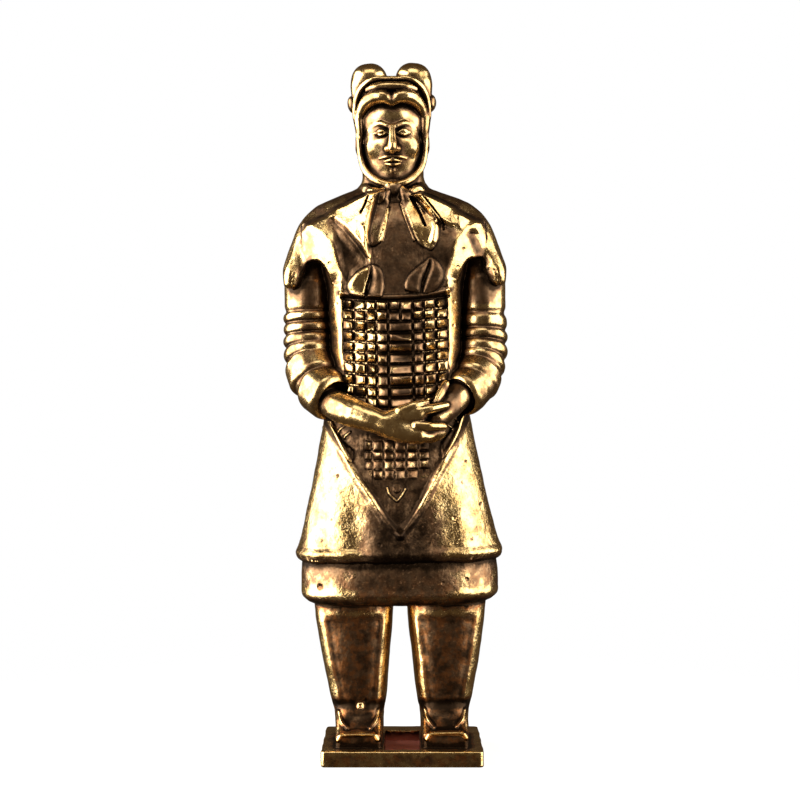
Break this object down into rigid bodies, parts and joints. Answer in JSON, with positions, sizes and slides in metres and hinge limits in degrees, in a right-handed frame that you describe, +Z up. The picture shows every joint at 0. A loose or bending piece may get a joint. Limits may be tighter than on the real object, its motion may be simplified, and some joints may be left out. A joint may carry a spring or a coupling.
{
  "type": "soldier figurine",
  "caption": "Solid cast brass figurine of a robed soldier in plate armour, hands clasped in front, standing on a small flat rectangular plate.",
  "frame": {"origin": "centre of the standing plate's underside", "axes": "+Z up along the figure's height; the soldier faces -Y; +X is to the right of a viewer in front"},
  "size_m": [0.0194, 0.0132, 0.06],
  "materials": {
    "antique_brass": "cast brass with a dark brown patina in the hollows, polished bright on the raised parts, with small casting pits"
  },
  "bodies": {
    "root": {"soldier_figurine": "antique_brass"}
  },
  "joints": []
}
